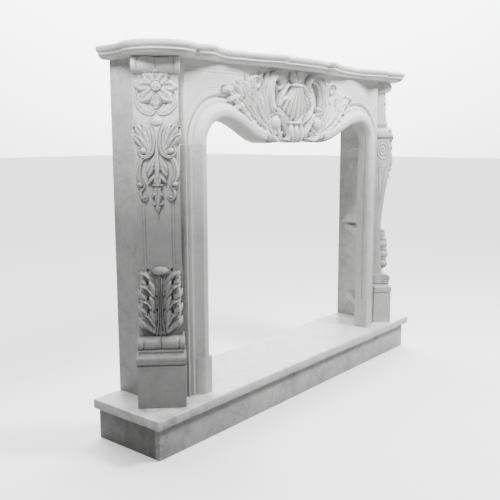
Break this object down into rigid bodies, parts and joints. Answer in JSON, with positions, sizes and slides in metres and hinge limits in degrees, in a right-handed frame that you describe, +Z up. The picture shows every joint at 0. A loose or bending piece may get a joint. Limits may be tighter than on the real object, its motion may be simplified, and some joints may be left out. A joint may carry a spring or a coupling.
{
  "type": "fireplace mantel",
  "caption": "White marble fireplace surround with a serpentine moulded shelf, carved canted console legs, an arched frieze with a shell cartouche and a raised hearth slab.",
  "frame": {"origin": "centre of the footprint on the floor, under the hearth", "axes": "+X to the right seen from the room, +Y back to the wall, +Z up"},
  "size_m": [1.6, 0.3168, 1.246],
  "materials": {
    "white_marble": "honed",
    "leg_marble": "honed",
    "riser_marble": "honed",
    "rough_marble": "sawn"
  },
  "bodies": {
    "root": {"hearth_riser_front": "riser_marble", "left_hearth_riser": "riser_marble", "right_hearth_riser": "riser_marble", "hearth_slab": "white_marble", "left_side_panel": "white_marble", "right_side_panel": "white_marble", "left_leg_plinth": "leg_marble", "right_leg_plinth": "leg_marble", "left_console_leg": "leg_marble", "right_console_leg": "leg_marble", "left_jamb": "white_marble", "right_jamb": "white_marble", "frieze": "white_marble", "mantel_shelf": "white_marble", "left_brace_top": "rough_marble", "right_brace_top": "rough_marble", "left_brace_middle": "rough_marble", "right_brace_middle": "rough_marble", "left_brace_strut": "rough_marble", "right_brace_strut": "rough_marble", "left_brace_foot": "rough_marble", "right_brace_foot": "rough_marble"}
  },
  "joints": []
}
